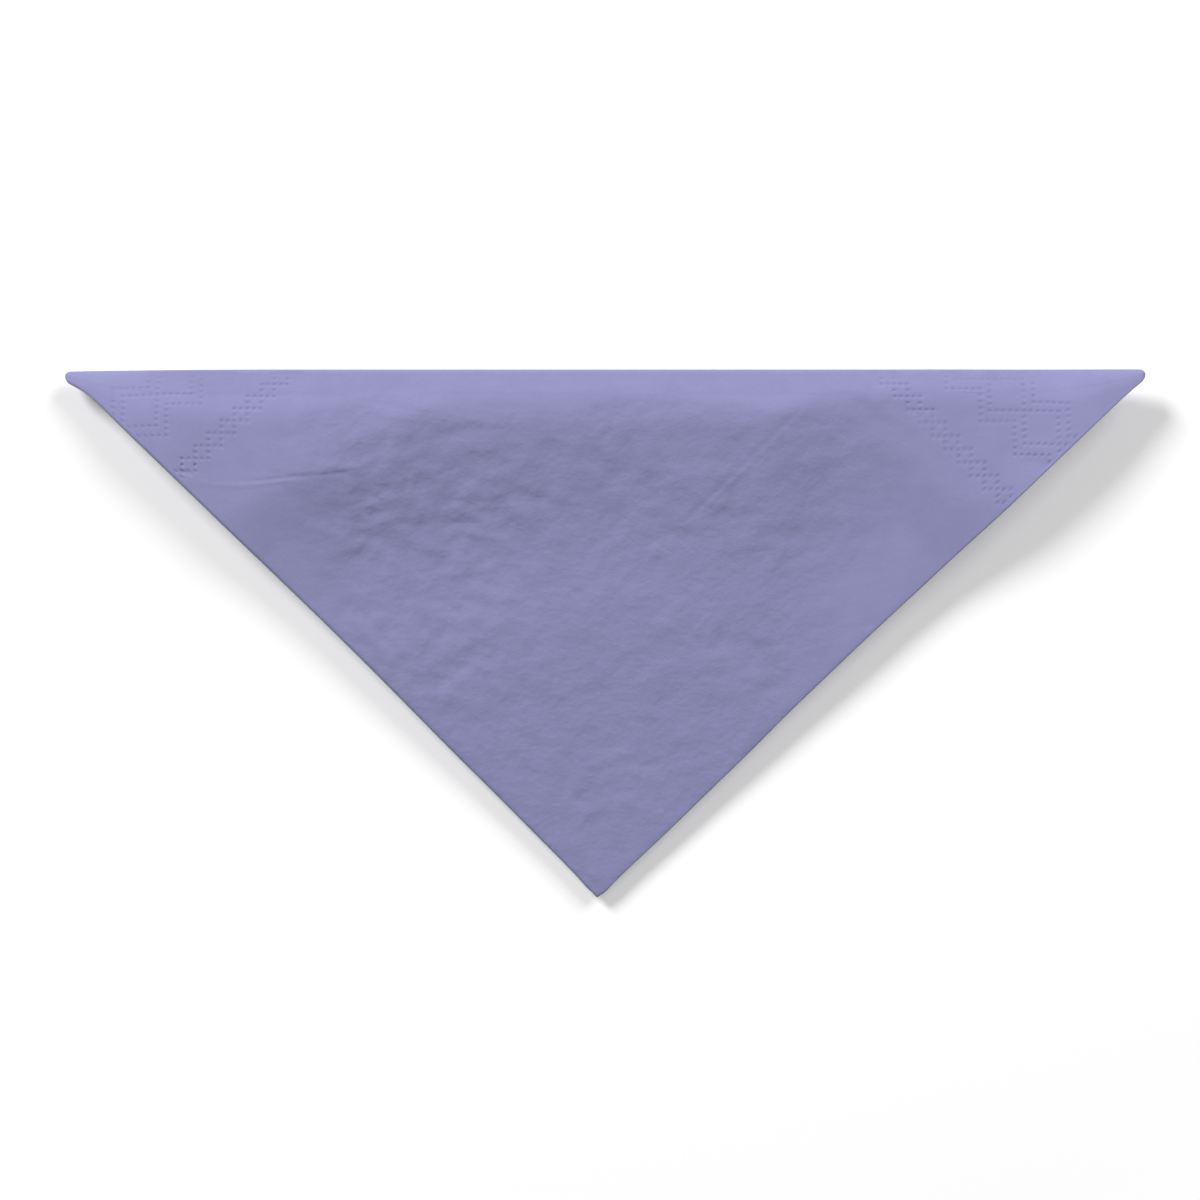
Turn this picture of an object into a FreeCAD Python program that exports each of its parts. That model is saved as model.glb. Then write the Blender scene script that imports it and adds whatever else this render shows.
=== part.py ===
# Paper napkin: one square sheet of soft tissue, folded in half, in half again to a quarter,
# and then corner to corner, so that eight layers of the one sheet lie in a flat triangle.
#
# Millimetres. +X runs along the last fold, +Y points from the apex to that fold, +Z is up.
# The origin is under the middle of the triangle's box, on the surface that it lies on.
#
# How the sheet lies: its middle is at the apex. The slanted edge on the left is the second
# fold, which wraps layer 1 round to layer 4 and layer 2 round to layer 3. The slanted edge on
# the right is the first fold, which joins layer 1 to layer 2 and layer 3 to layer 4. The last
# fold turns all four of them under, so the lower half ends in four open edges on each side.
# So the solid is four strips, two on each side of the apex. Each strip is a pair of layers
# that share one folded edge, and all four meet face to face on the plane through the apex.
# A strip keeps the same rounded fold from the apex plane out, first flat and then bending up,
# so its faces there are planes and cylinders. Towards the tip the fold closes to a point, and
# there the strip is a loft.
import FreeCAD
import Part

import math
import os

os.makedirs("parts", exist_ok=True)
doc = FreeCAD.newDocument("paper_napkin")

# Driving dimensions, each one a cell of the sheet. The open fold is the stretch between the
# places where it starts to close towards the tips.
DIMENSIONS = [
    ("sheet_side", 330.0, "side of the square sheet before it is folded"),
    ("paper_thickness", 0.2, "one layer, with all its plies"),
    ("fold_take_up", 3.1, "depth that the soft last fold takes from the triangle"),
    ("apex_offset", -1.5, "how far the apex lies from the middle of the last fold"),
    ("open_gap", 0.45, "air between two layers, along the open fold"),
    ("tip_gap", 0.15, "air between two layers, at a tip"),
    ("open_nose_hollow", 1.45, "radius of the hollow inside the open fold"),
    ("tip_nose_hollow", 0.15, "radius of the hollow inside the fold, at a tip"),
    ("open_shoulder_hollow", 11.85, "inner radius of the open fold's rounded shoulder"),
    ("tip_shoulder_hollow", 0.25, "inner radius of the rounded shoulder, at a tip"),
    ("shoulder_rise", 30.0, "degrees: how steeply the sheet leaves the nose of the fold"),
    ("flat_reach", 58.0, "how far from the apex, to each side, the napkin lies flat"),
    ("open_reach", 88.0, "how far from the apex, to each side, the fold stays open"),
    ("tip_lift", 8.0, "how far a tip stands off the surface"),
    ("open_edge_setback", 0.8, "how far the innermost open edge stays inside the outline"),
    ("open_edge_step", 0.6, "how much further back each next open edge is, but at a tip"),
    ("tip_margin", 0.1, "straight paper left at a tip, before the folded edge"),
]
sheet = doc.addObject("Spreadsheet::Sheet", "dimensions")
for row, (alias, value, meaning) in enumerate(DIMENSIONS, start=1):
    sheet.set(f"A{row}", meaning)
    sheet.set(f"B{row}", str(value))
    sheet.setAlias(f"B{row}", alias)
doc.recompute()


def size(alias):
    """The value in one cell of the sheet."""
    return float(sheet.get(alias))


# Sizes that follow from the driving ones
LAYERS = 4
PAPER = size("paper_thickness")
RISE = math.radians(size("shoulder_rise"))
QUARTER_DIAGONAL = size("sheet_side") / 2 * math.sqrt(2)
HALF_LENGTH = QUARTER_DIAGONAL / 2
DEPTH = QUARTER_DIAGONAL / 2 - size("fold_take_up")
APEX_X = size("apex_offset")

# How many straight bays make the bend between flat_reach and open_reach, and on to the tip
OPEN_BAYS = 2
CLOSING_BAYS = 3


class LastFold:
    """The rounded last fold, cut across: a tight nose below and a wide shoulder above it.

    Within a cut, inward is measured from the fold's outermost line and height from the
    underside. A depth is counted into the paper from its outer face, which is layer 1's.
    Closed is 0 along the open fold and 1 at a tip.
    """

    def __init__(self, closed):
        def local(name):
            open_size, tip_size = size(f"open_{name}"), size(f"tip_{name}")
            return open_size + (tip_size - open_size) * closed**2

        self.gap = local("gap")
        self.pack = self.stack(LAYERS)
        self.nose = self.pack + local("nose_hollow")
        self.shoulder = self.pack + local("shoulder_hollow")
        # The shoulder's arc carries on from the nose's, where that has turned up to RISE
        self.shoulder_in = self.nose + (self.shoulder - self.nose) * math.sin(RISE)
        self.shoulder_up = self.nose - (self.shoulder - self.nose) * math.cos(RISE)

    def stack(self, layers):
        """The thickness of some layers with the air between them."""
        return layers * PAPER + (layers - 1) * self.gap


def upper_half_turn():
    """How far the fold has turned where the upper half runs straight down to the apex."""
    fold = LastFold(0)
    run = DEPTH - fold.shoulder_in
    rise = 2 * fold.pack + fold.gap - fold.shoulder_up
    return math.atan2(rise, run) + math.acos(fold.shoulder / math.hypot(run, rise))


TURNED = upper_half_turn()
OUT = (math.cos(TURNED), math.sin(TURNED))
ALONG = (math.sin(TURNED), -math.cos(TURNED))


def tip_width():
    """The least width that holds the nose, the shoulder and the widest folded edge."""
    fold = LastFold(1)
    return fold.shoulder_in + fold.shoulder * OUT[0] + fold.pack / 2 + size("tip_margin")


def side_length(side):
    """From the apex plane to the tip on one side: -1 is the left, +1 the right."""
    return HALF_LENGTH - side * APEX_X


class CrossSection:
    """The folded napkin cut across the last fold, at one distance from the apex plane.

    turned_layers is how many layers the widest folded edge on this side wraps around.
    """

    def __init__(self, side, distance, turned_layers):
        reach = side_length(side)

        def share_past(start):
            return max(0.0, distance - start) / (reach - start)

        closed, lifted = share_past(size("open_reach")), share_past(size("flat_reach"))
        self.fold = LastFold(closed)
        self.x = APEX_X + side * distance
        self.lift = size("tip_lift") * lifted**2
        self.width = DEPTH + (tip_width() - DEPTH) * distance / reach
        self.edge_step = size("open_edge_step") * (1 - closed**2)
        self.turn_radius = self.fold.stack(turned_layers) / 2

    def point(self, inward, height):
        return FreeCAD.Vector(self.x, DEPTH / 2 - inward, height + self.lift)

    def around(self, center, radius, angle):
        return self.point(center[0] + radius * math.cos(angle), center[1] + radius * math.sin(angle))

    def arc(self, center, radius, start, end):
        through = [self.around(center, radius, angle) for angle in (start, (start + end) / 2, end)]
        return Part.Arc(*through).toShape()

    def line(self, start, end):
        return Part.LineSegment(start, end).toShape()

    def layer_faces(self, layer):
        """The depths of a layer's outer and inner face."""
        outer = (layer - 1) * (PAPER + self.fold.gap)
        return outer, outer + PAPER

    def straight_end(self, depth):
        """Where the straight upper run at this depth gives way to the folded edge's turn."""
        start = (
            self.fold.shoulder_in + self.fold.shoulder * OUT[0],
            self.fold.shoulder_up + self.fold.shoulder * OUT[1],
        )
        run = (self.width - self.turn_radius * ALONG[0] - start[0]) / ALONG[0]
        return [start[axis] + run * ALONG[axis] - depth * OUT[axis] for axis in (0, 1)]

    def open_edge(self, layer):
        """How far in from the fold a layer of the lower half ends."""
        return self.width - size("open_edge_setback") - (LAYERS - layer) * self.edge_step

    def run_round(self, layer, depth):
        """One face of a layer: from its open edge, round the last fold, to the folded edge."""
        fold = self.fold
        nose, shoulder = (fold.nose, fold.nose), (fold.shoulder_in, fold.shoulder_up)
        nose_end = math.pi / 2 + RISE
        straight_start = self.around(shoulder, fold.shoulder - depth, TURNED)
        return [
            self.line(self.point(self.open_edge(layer), depth), self.point(fold.nose, depth)),
            self.arc(nose, fold.nose - depth, 3 * math.pi / 2, nose_end),
            self.arc(shoulder, fold.shoulder - depth, nose_end, TURNED),
            self.line(straight_start, self.point(*self.straight_end(depth))),
        ]

    def turn(self, first, last):
        """The rounded face of a folded edge, from one depth round to another."""
        center = self.straight_end((first + last) / 2)
        return self.arc(center, (last - first) / 2, TURNED, TURNED - math.pi)

    def cut_edge(self, layer, first, last):
        inward = self.open_edge(layer)
        return self.line(self.point(inward, first), self.point(inward, last))

    def outline(self, upper, lower):
        """The edges of two layers that are joined at a folded edge, in order, closed."""
        upper_outer, upper_inner = self.layer_faces(upper)
        lower_outer, lower_inner = self.layer_faces(lower)
        return [
            *self.run_round(upper, upper_outer),
            self.turn(upper_outer, lower_inner),
            *reversed(self.run_round(lower, lower_inner)),
            self.cut_edge(lower, lower_inner, lower_outer),
            *self.run_round(lower, lower_outer),
            self.turn(upper_inner, lower_outer),
            *reversed(self.run_round(upper, upper_inner)),
            self.cut_edge(upper, upper_inner, upper_outer),
        ]


def face_between(near, far):
    """The face between two matching edges: a plane between lines, a cylinder between arcs."""
    near_ends, far_ends = ([vertex.Point for vertex in edge.Vertexes] for edge in (near, far))
    if near.Curve.TypeId == "Part::GeomLine":
        return Part.Face(Part.makePolygon([*near_ends, *reversed(far_ends), near_ends[0]]))
    return near.extrude(far_ends[0] - near_ends[0])


def evenly(start, end, bays):
    """The places that part a stretch into equal bays, without its start."""
    return [start + (end - start) * bay / bays for bay in range(1, bays + 1)]


def open_piece(name, side, layers, turned_layers):
    """The part of a strip along the open fold, from the apex plane to where the fold closes."""
    flat, opened = size("flat_reach"), size("open_reach")
    places = [0.0, flat, *evenly(flat, opened, OPEN_BAYS)]
    outlines = [CrossSection(side, place, turned_layers).outline(*layers) for place in places]
    ends = [Part.Face(Part.Wire(edges)) for edges in (outlines[0], outlines[-1])]
    sides = [
        face_between(*edges)
        for near, far in zip(outlines, outlines[1:])
        for edges in zip(near, far)
    ]
    piece = doc.addObject("Part::Feature", f"{name}_open")
    piece.Shape = Part.Solid(Part.Shell(sides + ends))
    return piece


def closing_piece(name, side, layers, turned_layers):
    """The part of a strip where the fold closes, lofted through its outlines out to the tip."""
    opened = size("open_reach")
    places = [opened, *evenly(opened, side_length(side), CLOSING_BAYS)]
    outlines = []
    for number, place in enumerate(places):
        outline = doc.addObject("Part::Feature", f"{name}_outline_{number}")
        outline.Shape = Part.Wire(CrossSection(side, place, turned_layers).outline(*layers))
        outlines.append(outline)
    piece = doc.addObject("Part::Loft", f"{name}_closing")
    piece.Sections = outlines
    piece.Solid = True
    piece.Ruled = True
    return piece


# Each strip: its name, its side, its two layers, and how many layers the side's edge wraps
STRIPS = (
    ("left_outer", -1, (1, 4), 4),
    ("left_inner", -1, (2, 3), 4),
    ("right_upper", 1, (1, 2), 2),
    ("right_lower", 1, (3, 4), 2),
)

napkin = doc.addObject("Part::MultiFuse", "napkin")
napkin.Label = "napkin"
napkin.Shapes = [build(*strip) for strip in STRIPS for build in (open_piece, closing_piece)]
napkin.Refine = True
doc.recompute()

# Nothing is written unless every object is sound and the sheet is still one piece of paper
for item in doc.Objects:
    if "Invalid" in item.State or "Error" in item.State:
        raise RuntimeError(f"{item.Name} did not recompute: {item.State}")
if napkin.Shape.isNull() or not napkin.Shape.isValid():
    raise RuntimeError("the napkin's shape is not valid")
if len(napkin.Shape.Solids) != 1:
    raise RuntimeError(f"the napkin is {len(napkin.Shape.Solids)} solids, not one sheet")

flat_volume = size("sheet_side") ** 2 * PAPER
box = napkin.Shape.optimalBoundingBox()
print("length, depth, height:", round(box.XLength, 2), round(box.YLength, 2), round(box.ZLength, 2))
print("paper in the solid, as a share of the flat sheet:", round(napkin.Shape.Volume / flat_volume, 4))
napkin.Shape.exportStep(f"parts/{napkin.Label}.step")
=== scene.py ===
# %% [markdown]
# # A folded paper napkin
#
# This lesson builds one lilac paper napkin that has been folded to a quarter and then corner to
# corner. The packed CAD model is loaded first, because it fixes the size and the place of
# everything that follows. Its solid is plain, so one detailed sheet of paper takes its place.

# %% Load the packed model
import math

import bmesh
import bpy
import numpy as np
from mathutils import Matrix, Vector, noise


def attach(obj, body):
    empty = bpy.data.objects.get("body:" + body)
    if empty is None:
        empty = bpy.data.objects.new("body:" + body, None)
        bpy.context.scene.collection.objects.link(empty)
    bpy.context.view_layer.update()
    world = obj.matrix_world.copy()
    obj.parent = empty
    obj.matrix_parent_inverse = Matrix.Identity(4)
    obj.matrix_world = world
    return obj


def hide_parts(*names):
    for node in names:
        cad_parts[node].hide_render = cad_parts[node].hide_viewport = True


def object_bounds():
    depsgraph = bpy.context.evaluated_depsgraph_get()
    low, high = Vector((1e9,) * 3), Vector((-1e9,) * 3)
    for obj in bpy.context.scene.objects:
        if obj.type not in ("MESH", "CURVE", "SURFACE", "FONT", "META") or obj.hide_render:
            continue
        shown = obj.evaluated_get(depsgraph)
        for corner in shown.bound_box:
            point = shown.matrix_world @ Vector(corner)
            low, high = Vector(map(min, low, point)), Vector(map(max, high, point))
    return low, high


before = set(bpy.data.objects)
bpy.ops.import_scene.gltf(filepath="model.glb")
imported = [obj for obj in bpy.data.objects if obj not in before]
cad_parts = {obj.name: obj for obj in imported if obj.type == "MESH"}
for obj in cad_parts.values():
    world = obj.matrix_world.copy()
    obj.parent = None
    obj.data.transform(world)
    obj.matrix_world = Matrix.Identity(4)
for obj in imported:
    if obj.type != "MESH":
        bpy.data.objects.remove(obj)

cad_low, cad_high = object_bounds()
print("CAD box in mm:", [round(side * 1000, 2) for side in cad_high - cad_low])

# %% [markdown]
# ## The sheet's sizes
#
# All sizes are in millimetres until the mesh is made. The flat sheet is 330 mm square. Two folds
# make a quarter of four layers, and a last soft fold along the quarter's diagonal makes a
# triangle of eight. The middle of the sheet is the triangle's apex. These are the CAD model's
# own sizes, repeated here because the script reads nothing else. Only the lift of the two tips
# is lower, as the short shadows under them show.

# %% Sizes of the sheet and of its last fold
MM = 0.001
SHEET = 330.0
PAPER = 0.2
LAYERS = 4
QUARTER_DIAGONAL = SHEET / 2 * math.sqrt(2)
HALF_LENGTH = QUARTER_DIAGONAL / 2
DEPTH = (cad_high.y - cad_low.y) / MM
BACK_Y = cad_high.y / MM
APEX_X = -1.5
RISE = math.radians(30)
# How far to each side of the apex the last fold stays open, and the napkin lies flat
OPEN_REACH = 88.0
FLAT_REACH = 58.0
LEFT_LIFT, RIGHT_LIFT = 2.6, 6.5
OPEN_EDGE_SETBACK = 0.8
OPEN_EDGE_STEP = 0.6
# Sizes of the last fold, each where it is open and at the tips
LAYER_GAP = (0.45, 0.15)
NOSE_ROOM = (1.45, 0.15)
SHOULDER_ROOM = (11.85, 0.25)
TIP_ROOM = 0.1


def mixed(first, second, share):
    """A value on the way from a first one to a second."""
    return first + (second - first) * share


def fold_sizes(closed):
    """The last fold cut across: the gap between layers, and its nose and shoulder arcs."""
    gap = mixed(*LAYER_GAP, closed**2)
    pack = LAYERS * PAPER + (LAYERS - 1) * gap
    nose = pack + mixed(*NOSE_ROOM, closed**2)
    shoulder = pack + mixed(*SHOULDER_ROOM, closed**2)
    shoulder_in = nose + (shoulder - nose) * math.sin(RISE)
    shoulder_up = nose - (shoulder - nose) * math.cos(RISE)
    return gap, pack, nose, shoulder, shoulder_in, shoulder_up


def upper_half_turn():
    """How far the fold has turned where the upper half starts to run straight."""
    gap, pack, nose, shoulder, shoulder_in, shoulder_up = fold_sizes(0.0)
    run = DEPTH - shoulder_in
    rise = 2 * pack + gap - shoulder_up
    return math.atan2(rise, run) + math.acos(shoulder / math.hypot(run, rise))


TURNED = upper_half_turn()
OUT = (math.cos(TURNED), math.sin(TURNED))
ALONG = (math.sin(TURNED), -math.cos(TURNED))
NOSE_END = math.pi / 2 + RISE
TIP_FOLD = fold_sizes(1.0)
TIP_WIDTH = TIP_FOLD[4] + TIP_FOLD[3] * OUT[0] + TIP_FOLD[1] / 2 + TIP_ROOM
print("the upper half runs", round(90 - math.degrees(TURNED), 2), "degrees down from level")
print("a tip is", round(TIP_WIDTH, 2), "mm wide")

# %% [markdown]
# ## Wrinkles and creases
#
# The upper half of a napkin is never flat: the middle sags, a few long creases cross it and the
# tissue crumples lightly between them, while the corners stay smooth. A cloth simulation would
# crumple it at random, so the creases are drawn as strokes with a height and a width.

# %% A helper that places a point seen in the picture
PIXELS_PER_MM = 4.629
PICTURE_X = 604.0
PICTURE_FOLD = 369.5


def seen(x, y):
    """A point of the upper side, from where it is seen in the 1200 pixel picture."""
    return (x - PICTURE_X) / PIXELS_PER_MM, BACK_Y - (y - PICTURE_FOLD) / PIXELS_PER_MM


def rounded(points, steps=6):
    """A smooth line through some points, as a list of closer points."""
    ends = [points[0], *points, points[-1]]
    line = []
    for before, start, end, after in zip(ends, ends[1:], ends[2:], ends[3:]):
        before, start, end, after = (np.array(point) for point in (before, start, end, after))
        for step in range(steps):
            t = step / steps
            bend = 2 * start + (end - before) * t
            bend = bend + (2 * before - 5 * start + 4 * end - after) * t**2
            line.append((bend + (3 * start - before - 3 * end + after) * t**3) / 2)
    return np.array([*line, points[-1]])


def smooth(low, high, value):
    """0 below low, 1 above high and a soft step between."""
    share = np.clip((value - low) / (high - low), 0.0, 1.0)
    return share * share * (3 - 2 * share)


print("the picture's left border is at x =", round(seen(0, 0)[0], 1), "mm")

# %% [markdown]
# ## The drawn creases
#
# A crease in soft paper is a low ridge or groove with rounded flanks, or a small step, and it runs
# out at both ends. Here each one is a line of points read from the photograph with a soft profile
# across it, because that is easier to move and to add up than faces sculpted by hand.

# %% The strokes: ridges stand up, grooves are pressed in, and steps drop to their right side
# Each stroke: its kind, its height and width in mm, and the points it runs through
STROKES = (
    ("groove", 0.16, 0.42, ((178, 471), (187, 474), (197, 477))),
    ("groove", 0.07, 0.46, ((234, 483), (262, 482), (296, 478), (334, 475), (372, 469))),
    ("step", 0.08, 0.80, ((240, 482), (262, 481), (296, 477), (334, 474), (380, 467))),
    ("ridge", 0.10, 0.55, ((190, 482), (215, 486), (245, 487), (283, 483), (318, 480))),
    ("ridge", 0.05, 1.80, ((283, 489), (334, 486), (379, 480), (414, 466))),
    ("step", 0.16, 2.4, ((280, 428), (312, 416), (352, 412), (395, 421), (430, 428), (462, 427), (497, 417))),
    ("step", 0.55, 5.0, ((396, 463), (350, 461), (304, 464))),
    ("groove", 0.16, 1.6, ((398, 462), (410, 449), (409, 436))),
    ("ridge", 0.13, 1.5, ((300, 497), (335, 502), (379, 501), (435, 494), (490, 491), (537, 494))),
    ("groove", 0.11, 1.5, ((322, 493), (350, 495), (379, 493), (430, 486), (470, 484))),
    ("groove", 0.10, 1.6, ((318, 512), (345, 514), (400, 512), (450, 505), (520, 508))),
    ("ridge", 0.12, 1.7, ((318, 541), (379, 528), (435, 513), (497, 517))),
    ("groove", 0.10, 1.7, ((330, 552), (390, 540), (440, 526), (500, 530))),
    ("ridge", 0.11, 1.7, ((375, 570), (435, 580), (475, 568))),
    ("groove", 0.10, 1.7, ((360, 566), (400, 566), (440, 566), (480, 552))),
    ("ridge", 0.16, 1.3, ((436, 704), (458, 683), (492, 655))),
    ("groove", 0.11, 1.3, ((430, 694), (450, 672), (480, 645))),
    ("groove", 0.12, 1.2, ((430, 668), (440, 640), (452, 611))),
    ("ridge", 0.11, 1.1, ((345, 611), (372, 642), (402, 679))),
    ("groove", 0.10, 1.1, ((351, 604), (380, 635), (410, 671))),
    ("ridge", 0.05, 0.45, ((822, 397), (786, 431), (726, 489), (690, 524), (664, 550))),
    ("groove", 0.04, 0.50, ((819, 393), (783, 427), (723, 485), (687, 520), (661, 546))),
    ("step", 0.20, 2.2, ((838, 398), (853, 394), (868, 405), (887, 421), (921, 447))),
    ("step", 0.20, 3.2, ((905, 440), (918, 468), (908, 500), (914, 560))),
    ("groove", 0.24, 2.0, ((705, 634), (729, 642), (769, 654))),
    ("ridge", 0.20, 4.0, ((722, 674), (745, 684), (768, 690))),
    ("groove", 0.13, 1.3, ((769, 656), (776, 680), (774, 702))),
    ("groove", 0.24, 1.7, ((1020, 458), (1034, 465), (1054, 470))),
    ("groove", 0.15, 1.4, ((858, 624), (870, 628), (884, 626))),
    ("ridge", 0.15, 1.5, ((574, 792), (588, 771), (628, 757), (682, 755))),
    ("groove", 0.13, 1.8, ((582, 800), (596, 780), (634, 766), (684, 764))),
    ("ridge", 0.14, 0.8, ((585, 871), (592, 879), (601, 884))),
    ("groove", 0.12, 0.7, ((580, 876), (589, 886), (602, 890))),
    ("groove", 0.30, 5.0, ((603, 432), (612, 470), (616, 509), (611, 566))),
    ("ridge", 0.16, 3.6, ((640, 440), (652, 480), (650, 530))),
    ("groove", 0.10, 1.1, ((590, 808), (600, 796), (606, 780))),
    ("ridge", 0.10, 1.1, ((600, 812), (622, 806), (650, 812))),
)


# How far a stroke is felt, in its widths, and the share of its length that each end takes to fade
STROKE_REACH, STEP_REACH = 6, 2.6
STROKE_FADE = 0.28


def beside(line, place):
    """How far places are from a line, how far along it and to its left, and the line's length."""
    nearest = np.full(len(place), np.inf)
    travelled, left = np.zeros(len(place)), np.zeros(len(place))
    lengths = np.hypot(*np.diff(line, axis=0).T)
    before = 0.0
    for start, end, length in zip(line, line[1:], lengths):
        way = (end - start) / max(length, 1e-6)
        offset = place - start
        share = np.clip(offset @ way, 0, length)
        apart = offset - share[:, None] * way
        distance = np.hypot(apart[:, 0], apart[:, 1])
        closer = distance < nearest
        nearest = np.where(closer, distance, nearest)
        travelled = np.where(closer, before + share, travelled)
        left = np.where(closer, way[0] * offset[:, 1] - way[1] * offset[:, 0], left)
        before += length
    return nearest, travelled, left, lengths.sum()


def stroke_heights(x, y):
    """What all the strokes together add to the height of some points."""
    total = np.zeros_like(x)
    for kind, height, width, points in STROKES:
        line = rounded([seen(*point) for point in points])
        middle = (line.min(axis=0) + line.max(axis=0)) / 2
        half = (line.max(axis=0) - line.min(axis=0)) / 2 + STROKE_REACH * width
        near = np.flatnonzero((np.abs(x - middle[0]) < half[0]) & (np.abs(y - middle[1]) < half[1]))
        nearest, travelled, left, whole = beside(line, np.stack([x[near], y[near]], axis=1))
        fade = STROKE_FADE * whole
        ends = smooth(0, fade, travelled) * smooth(0, fade, whole - travelled)
        if kind == "step":
            profile = -smooth(-width / 2, width / 2, -left) * np.exp(-((nearest / (STEP_REACH * width)) ** 2))
        else:
            profile = np.exp(-((nearest / width) ** 2)) * (1 if kind == "ridge" else -1)
        total[near] += height * profile * ends
    return total


print("strokes:", len(STROKES))

# %% [markdown]
# ## The light crumple
#
# Between its creases the tissue has small dents, a few millimetres wide and a tenth or two high.
# They have no order worth copying, so fractal noise makes them, on the body of the upper side
# only, because the corners and the fold are smooth.

# %% Where the crumple lies and how it is shaped
NOISE_SHIFT = Vector((13.7, 4.2, 8.8))
NOISE_FALL, NOISE_STEP = 0.9, 2.1
# Each crumple: its height, its sizes across and up, its octaves, and a shift along x
CRUMPLES = ((0.15, 12.0, 8.5, 3, 0), (0.18, 5.0, 4.0, 2, 40))
FOLD_STRIP = (4.5, 9.5)
CORNERS_FROM, CORNERS_TO = 52.0, 80.0
CORNER_SHARE = 0.12


def crumple(x, y, across, up, octaves):
    """Seedless fractal noise with features about across by up millimetres in size."""
    points = np.stack([x / across, y / up, np.zeros_like(x)], axis=1)
    places = (Vector(point) + NOISE_SHIFT for point in points)
    return np.array([noise.fractal(place, NOISE_FALL, NOISE_STEP, octaves) for place in places])


def body_share(x, y):
    """1 on the crumpled body of the upper side, 0 on the fold and little on the corners."""
    inward = BACK_Y - y
    wander = 1.6 * np.sin(x / 9.0 + 0.7) + 1.1 * np.sin(x / 4.3)
    fold = smooth(*FOLD_STRIP, inward + wander)
    corner = 1 - smooth(CORNERS_FROM, CORNERS_TO, np.abs(x + 4.0) + 0.25 * inward * (np.abs(x) > 40))
    return fold * (CORNER_SHARE + (1 - CORNER_SHARE) * corner)


print("share of the crumple in the middle:", body_share(np.zeros(1), np.zeros(1)))

# %% [markdown]
# ## The top of the long fold
#
# The plain fold runs over a round shoulder into a straight upper half. The photograph shows a
# bright band, then a level strip, then a body that falls towards the apex. A free curve could be
# drawn at each place. Here a table holds where each strip starts and how steep it is, and only
# the difference from the plain fold is added.

# %% The slopes of the fold's top
# At places along the fold: how far in the level strip and the body start, and the slopes of the
# band, the level strip and the body. Lengths are in mm, and a slope rises inward.
CREST = (
    (-110, 5.0, 32.0, 0.33, 0.00, -0.085),
    (-87, 6.5, 32.0, 0.34, 0.01, -0.085),
    (-66, 6.8, 20.0, 0.36, 0.12, -0.085),
    (-52, 7.2, 13.5, 0.36, 0.13, -0.085),
    (-44, 8.3, 10.5, 0.38, 0.13, -0.085),
    (-33, 4.5, 9.6, 0.41, 0.13, -0.085),
    (-15, 4.0, 10.3, 0.41, 0.12, -0.085),
    (10, 3.5, 10.4, 0.41, 0.11, -0.080),
    (24, 5.0, 10.0, 0.42, 0.13, -0.055),
    (38, 6.2, 9.3, 0.43, 0.13, -0.040),
    (50, 3.4, 7.2, 0.47, 0.12, -0.040),
    (62, 2.9, 12.0, 0.49, 0.07, -0.060),
    (75, 2.4, 25.0, 0.50, 0.06, -0.085),
    (110, 3.0, 30.0, 0.41, 0.00, -0.085),
)
CREST_START = 0.35
# How softly it turns level and then down, near the middle and near the tips
LEVEL_TURN = (4.0, 6.5)
BODY_TURN = (2.8, 6.8)


def outer_surface(inward, sizes):
    """The height of the plain fold's outer surface, in from the nose."""
    gap, pack, nose, shoulder, shoulder_in, shoulder_up = sizes
    on_nose = np.sqrt(np.clip(nose**2 - (nose - np.clip(inward, 0, nose)) ** 2, 0, None)) + nose
    on_arc = np.clip(inward, 0, shoulder_in + shoulder * OUT[0])
    arc = shoulder_up + np.sqrt(np.clip(shoulder**2 - (shoulder_in - on_arc) ** 2, 0, None))
    beyond = (inward - on_arc) * ALONG[1] / ALONG[0]
    return np.where(inward < nose * (1 + math.cos(NOSE_END)), on_nose, arc + beyond)


def turned(run, start, width):
    """How far a slope that changes by 1 over a width has come in all."""
    share = np.clip((run - start) / width, 0, 1)
    return width * (share**3 - share**4 / 2) + np.clip(run - start - width, 0, None)


def crest_heights(x, inward, closed):
    """Changes the fold's round shoulder to a flat band, a level strip and a falling body."""
    sizes = fold_sizes(closed)
    table = np.array(CREST)
    level, body, band_slope, level_slope, body_slope = (
        np.interp(x, table[:, 0], column) for column in table.T[1:])
    level_turn = mixed(*LEVEL_TURN, smooth(45, 80, np.abs(x)))
    body_turn = mixed(*BODY_TURN, smooth(46, 66, np.abs(x)))
    wanted = outer_surface(np.full_like(inward, CREST_START), sizes)
    wanted = wanted + band_slope * (inward - CREST_START)
    wanted = wanted - (band_slope - level_slope) * turned(inward, level, level_turn)
    wanted = wanted - (level_slope - body_slope) * turned(inward, body, body_turn)
    share = (1 - smooth(24, 60, inward)) * (1 - smooth(96, 109, np.abs(x)))
    return np.where(inward > CREST_START, (wanted - outer_surface(inward, sizes)) * share, 0.0)


change = crest_heights(np.zeros(1), np.full(1, 12.0), np.zeros(1))
print("change of height 12 mm in:", change.round(2))

# %% [markdown]
# ## The field of heights
#
# The slow part is the sag of the middle over the soft fold's air, with a faint swell. The layers
# lie on each other, so all the upper ones share it. The quick part is the crumple and the creases,
# which could cut into the next layer, so only the uppermost layer has it.

# %% The slow and the quick part
SAG, SWELL = 1.3, 0.35
LEFT_ROUGHER = 0.6
# The air under the uppermost layer lets it sink no further
DEEPEST = -0.42


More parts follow.
